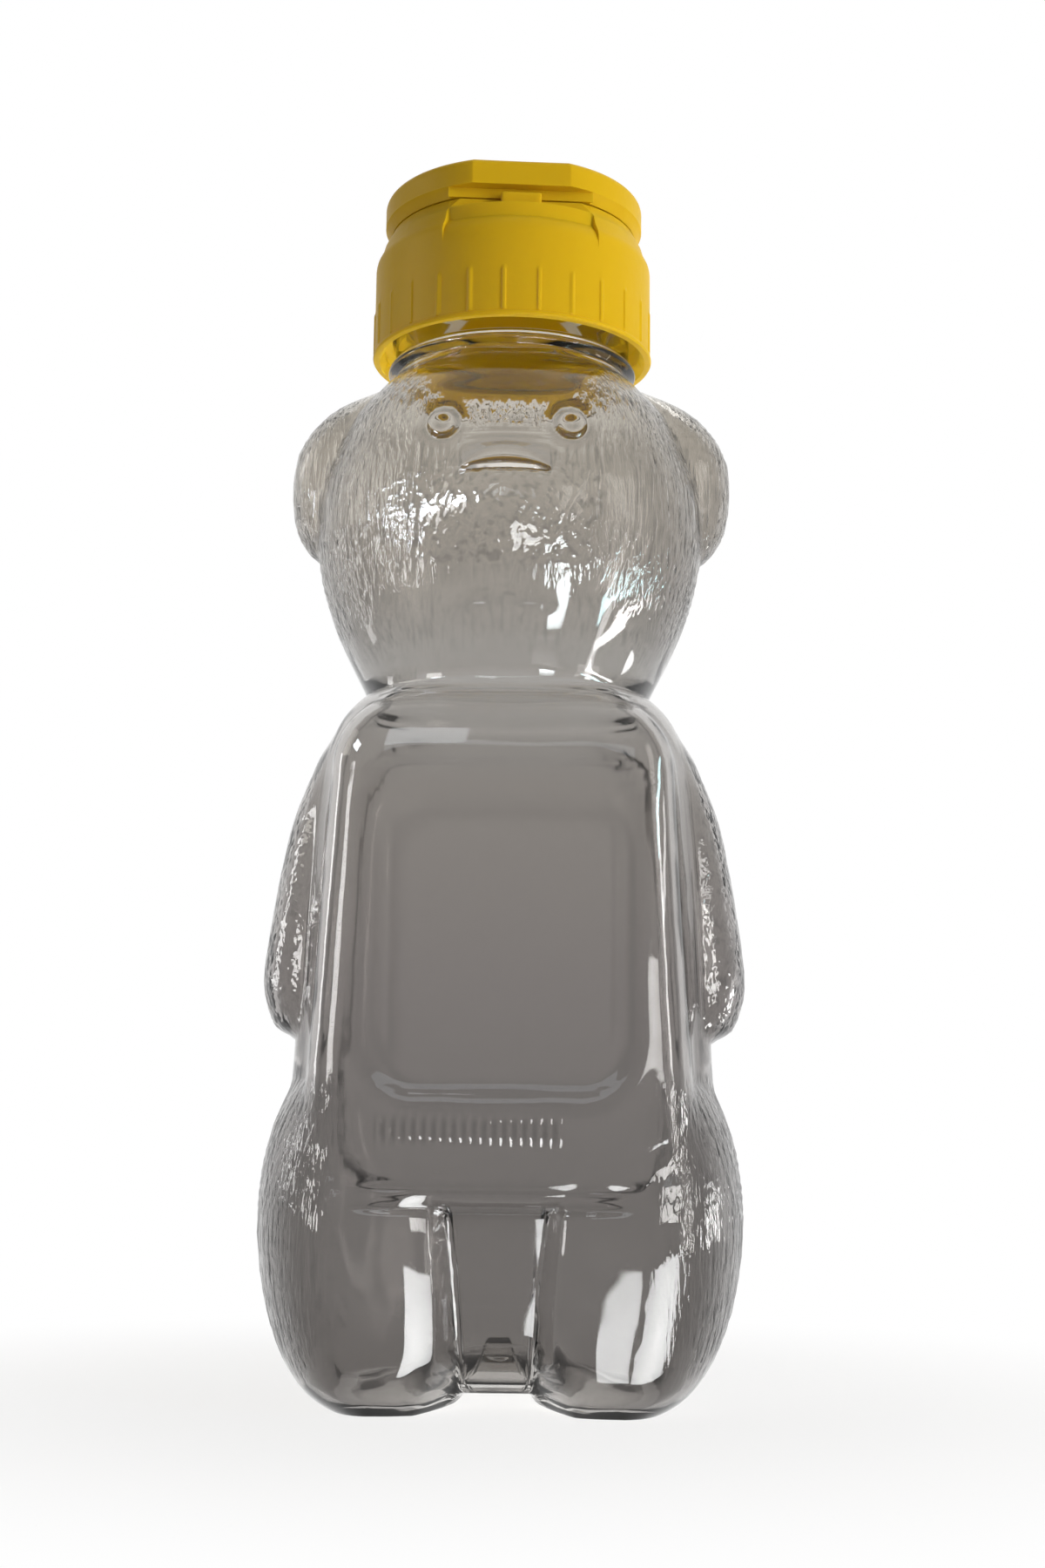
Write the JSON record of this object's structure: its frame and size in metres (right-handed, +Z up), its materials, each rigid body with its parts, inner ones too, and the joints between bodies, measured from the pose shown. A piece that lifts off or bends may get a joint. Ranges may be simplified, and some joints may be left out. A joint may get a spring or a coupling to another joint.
{
  "type": "honey bear bottle",
  "caption": "Clear blown squeeze bottle in the form of a sitting bear, with blank label fields and a yellow ribbed screw closure with a hinged flip-top lid.",
  "frame": {"origin": "centre of the standing face, at floor level, on the axis of the neck", "axes": "+Z up along the neck axis, -Y the side the bear faces, +X to the right of someone who looks at its face"},
  "size_m": [0.0682, 0.0552, 0.174],
  "materials": {
    "clear_pet": "clear glossy, slightly grey, blown",
    "yellow_closure": "satin moulded polypropylene",
    "seal_foam": "matt foamed polyethylene"
  },
  "bodies": {
    "bottle": {"bottle": "clear_pet"},
    "seal": {"seal_ring": "seal_foam"},
    "closure": {"closure_base": "yellow_closure", "hinge_film": "yellow_closure"},
    "lid": {"flip_lid": "yellow_closure"}
  },
  "joints": [
    {"name": "cap_lift", "type": "slide", "parent": "bottle", "child": "seal", "axis": [0, 0, 1], "range_m": [0, 0.01269]},
    {"name": "cap_turn", "type": "hinge", "parent": "seal", "child": "closure", "pos_m": [0, 0, 0.16], "axis": [0, 0, 1], "range_deg": [0, 1080]},
    {"name": "lid_hinge", "type": "hinge", "parent": "closure", "child": "lid", "pos_m": [-0.00175, 0.02002, 0.16853], "axis": [-0.9962, -0.0872, 0], "range_deg": [0, 160]}
  ],
  "couplings": [
    {"joint": "cap_turn", "follows": "cap_lift", "rad_per_m": 1484.3}
  ]
}
